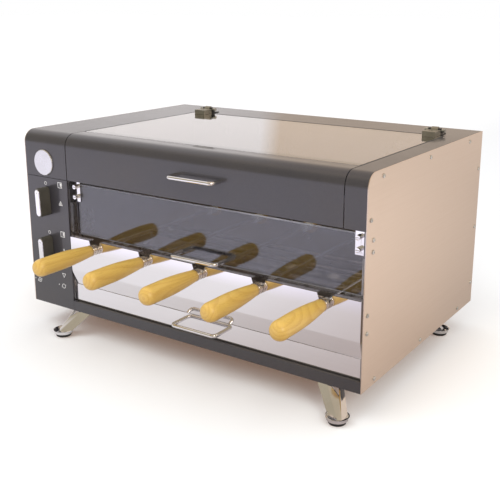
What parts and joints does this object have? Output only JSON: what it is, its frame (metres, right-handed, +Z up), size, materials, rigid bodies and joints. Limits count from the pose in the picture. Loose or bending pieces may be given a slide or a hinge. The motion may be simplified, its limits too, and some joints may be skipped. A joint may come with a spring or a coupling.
{
  "type": "electric skewer grill",
  "caption": "Countertop electric grill with turning wooden-handled skewers, hinged glass lid, top-hung glass door, pull-out drip tray, side control column and splayed metal legs.",
  "frame": {"origin": "on the floor, under the middle of the bounding box", "axes": "+X to the right along the front (the longest extent), +Y from the front to the back, +Z up"},
  "size_m": [0.684, 0.5836, 0.379],
  "materials": {
    "casing": "warm dark grey metallic semi-gloss paint",
    "side_sheet": "warm satin stainless sheet",
    "polished_sheet": "polished stainless sheet",
    "chamber_sheet": "plain bright stainless sheet",
    "zinc_sheet": "zinc-plated steel",
    "chrome": "polished chrome",
    "badge_metal": "bare satin disc",
    "pad_rubber": "matt black rubber",
    "lid_glass": "smoke-grey toughened glass",
    "door_glass": "dark mirror-tinted toughened glass",
    "heater_sheath": "heat-darkened steel sheath",
    "ceramic": "off-white ceramic",
    "terminal_plastic": "cream moulding",
    "black_plastic": "matt black moulding",
    "knob_plastic": "semi-gloss near-black moulding",
    "hinge_black": "black enamel",
    "gear_plastic": "heat-resistant natural moulding",
    "bush_brass": "sintered bronze",
    "motor_can": "plain grey motor can",
    "skewer_steel": "drawn stainless",
    "grip_wood": "clear-lacquered yellow-orange wood"
  },
  "bodies": {
    "housing": {"base_pan": "casing", "leg_front_left": "chrome", "leg_front_right": "chrome", "leg_rear_left": "chrome", "leg_rear_right": "chrome", "foot_pads": "pad_rubber", "side_panel_left": "side_sheet", "side_panel_right": "side_sheet", "top_shell": "casing", "rear_cover": "casing", "control_panel": "casing", "badge": "badge_metal", "front_panel": "polished_sheet", "chamber_liner": "chamber_sheet", "tray_runners": "zinc_sheet", "heating_element_front": "heater_sheath", "heating_element_rear": "heater_sheath", "element_bushes": "ceramic", "element_brackets": "zinc_sheet", "rotary_switch_upper": "black_plastic", "rotary_switch_lower": "black_plastic", "spindle_bushes": "bush_brass", "gear_plate": "zinc_sheet", "drive_motor": "motor_can", "terminal_block": "terminal_plastic", "power_inlet": "black_plastic", "inlet_pins": "chrome", "door_pivot_brackets": "zinc_sheet", "lid_hinge_bases": "hinge_black", "lid_hinge_pins": "zinc_sheet", "panel_screws": "zinc_sheet"},
    "lid": {"lid_flap": "casing", "lid_glass": "lid_glass", "lid_handle": "chrome", "lid_clamps": "hinge_black"},
    "door": {"door_glass": "door_glass", "door_handle": "chrome", "door_hinge_plates": "chrome"},
    "tray": {"drip_tray": "polished_sheet", "tray_handle": "chrome"},
    "upper_knob": {"knob_upper": "knob_plastic", "knob_upper_cap": "chrome"},
    "lower_knob": {"knob_lower": "knob_plastic", "knob_lower_cap": "chrome"},
    "pinion": {"motor_pinion": "gear_plastic"},
    "drive_spindle_1": {"spindle_1": "gear_plastic"},
    "drive_spindle_2": {"spindle_2": "gear_plastic"},
    "drive_spindle_3": {"spindle_3": "gear_plastic"},
    "drive_spindle_4": {"spindle_4": "gear_plastic"},
    "drive_spindle_5": {"spindle_5": "gear_plastic"},
    "loose_skewer_1": {"skewer_1": "skewer_steel", "grip_1": "grip_wood"},
    "loose_skewer_2": {"skewer_2": "skewer_steel", "grip_2": "grip_wood"},
    "loose_skewer_3": {"skewer_3": "skewer_steel", "grip_3": "grip_wood"},
    "loose_skewer_4": {"skewer_4": "skewer_steel", "grip_4": "grip_wood"},
    "loose_skewer_5": {"skewer_5": "skewer_steel", "grip_5": "grip_wood"}
  },
  "joints": [
    {"name": "lid_hinge", "type": "hinge", "parent": "housing", "child": "lid", "pos_m": [0.0495, 0.20525, 0.373], "axis": [-1, 0, 0], "range_deg": [0, 100]},
    {"name": "door_hinge", "type": "hinge", "parent": "housing", "child": "door", "pos_m": [0.0495, -0.14575, 0.276], "axis": [-1, 0, 0], "range_deg": [0, 80]},
    {"name": "tray_slide", "type": "slide", "parent": "housing", "child": "tray", "axis": [0, -1, 0], "range_m": [0, 0.29]},
    {"name": "upper_knob_turn", "type": "hinge", "parent": "housing", "child": "upper_knob", "pos_m": [-0.289, -0.16075, 0.242], "axis": [0, 1, 0], "range_deg": [0, 105]},
    {"name": "lower_knob_turn", "type": "hinge", "parent": "housing", "child": "lower_knob", "pos_m": [-0.289, -0.16075, 0.152], "axis": [0, 1, 0], "range_deg": [0, 165]},
    {"name": "spindle_1_turn", "type": "hinge", "parent": "housing", "child": "drive_spindle_1", "pos_m": [-0.1785, 0.19925, 0.17], "axis": [0, 1, 0], "continuous": true},
    {"name": "spindle_2_turn", "type": "hinge", "parent": "housing", "child": "drive_spindle_2", "pos_m": [-0.0645, 0.19925, 0.17], "axis": [0, 1, 0], "continuous": true},
    {"name": "spindle_3_turn", "type": "hinge", "parent": "housing", "child": "drive_spindle_3", "pos_m": [0.0495, 0.19925, 0.17], "axis": [0, 1, 0], "continuous": true},
    {"name": "spindle_4_turn", "type": "hinge", "parent": "housing", "child": "drive_spindle_4", "pos_m": [0.1635, 0.19925, 0.17], "axis": [0, 1, 0], "continuous": true},
    {"name": "spindle_5_turn", "type": "hinge", "parent": "housing", "child": "drive_spindle_5", "pos_m": [0.2775, 0.19925, 0.17], "axis": [0, 1, 0], "continuous": true},
    {"name": "pinion_turn", "type": "hinge", "parent": "housing", "child": "pinion", "pos_m": [0.0495, 0.19925, 0.246], "axis": [0, 1, 0], "continuous": true},
    {"name": "skewer_1_pull", "type": "slide", "parent": "drive_spindle_1", "child": "loose_skewer_1", "axis": [0, -1, 0], "range_m": [0, 0.03]},
    {"name": "skewer_2_pull", "type": "slide", "parent": "drive_spindle_2", "child": "loose_skewer_2", "axis": [0, -1, 0], "range_m": [0, 0.03]},
    {"name": "skewer_3_pull", "type": "slide", "parent": "drive_spindle_3", "child": "loose_skewer_3", "axis": [0, -1, 0], "range_m": [0, 0.03]},
    {"name": "skewer_4_pull", "type": "slide", "parent": "drive_spindle_4", "child": "loose_skewer_4", "axis": [0, -1, 0], "range_m": [0, 0.03]},
    {"name": "skewer_5_pull", "type": "slide", "parent": "drive_spindle_5", "child": "loose_skewer_5", "axis": [0, -1, 0], "range_m": [0, 0.03]}
  ],
  "couplings": [
    {"joint": "spindle_1_turn", "follows": "spindle_3_turn", "ratio": 1},
    {"joint": "spindle_2_turn", "follows": "spindle_3_turn", "ratio": -1},
    {"joint": "spindle_4_turn", "follows": "spindle_3_turn", "ratio": -1},
    {"joint": "spindle_5_turn", "follows": "spindle_3_turn", "ratio": 1},
    {"joint": "pinion_turn", "follows": "spindle_3_turn", "ratio": -3}
  ]
}
